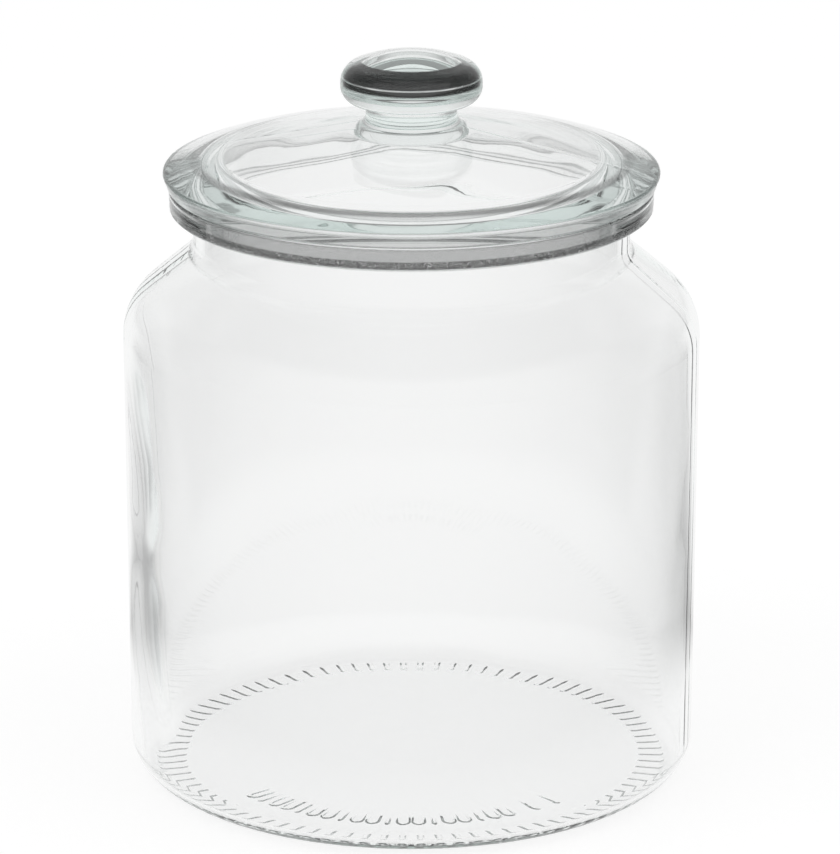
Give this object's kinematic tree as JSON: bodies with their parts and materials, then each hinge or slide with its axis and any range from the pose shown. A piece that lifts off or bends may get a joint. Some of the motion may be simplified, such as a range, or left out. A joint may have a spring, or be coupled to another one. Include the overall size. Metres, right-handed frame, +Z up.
{
  "type": "glass storage jar",
  "caption": "Round clear pressed-glass storage jar with a wide mouth, sloping shoulder, ribbed foot and a loose glass lid with a round knob.",
  "frame": {"origin": "on the jar's axis, in the plane that the jar stands on", "axes": "+Z up along the jar's axis, +X to the right of someone facing the jar, -Y towards them"},
  "size_m": [0.1399, 0.14, 0.18],
  "materials": {
    "jar_glass": "clear pressed glass with faint ripples",
    "lid_glass": "clear pressed glass, faintly green in the thick rim"
  },
  "bodies": {
    "root": {"jar": "jar_glass", "lid": "lid_glass"}
  },
  "joints": []
}
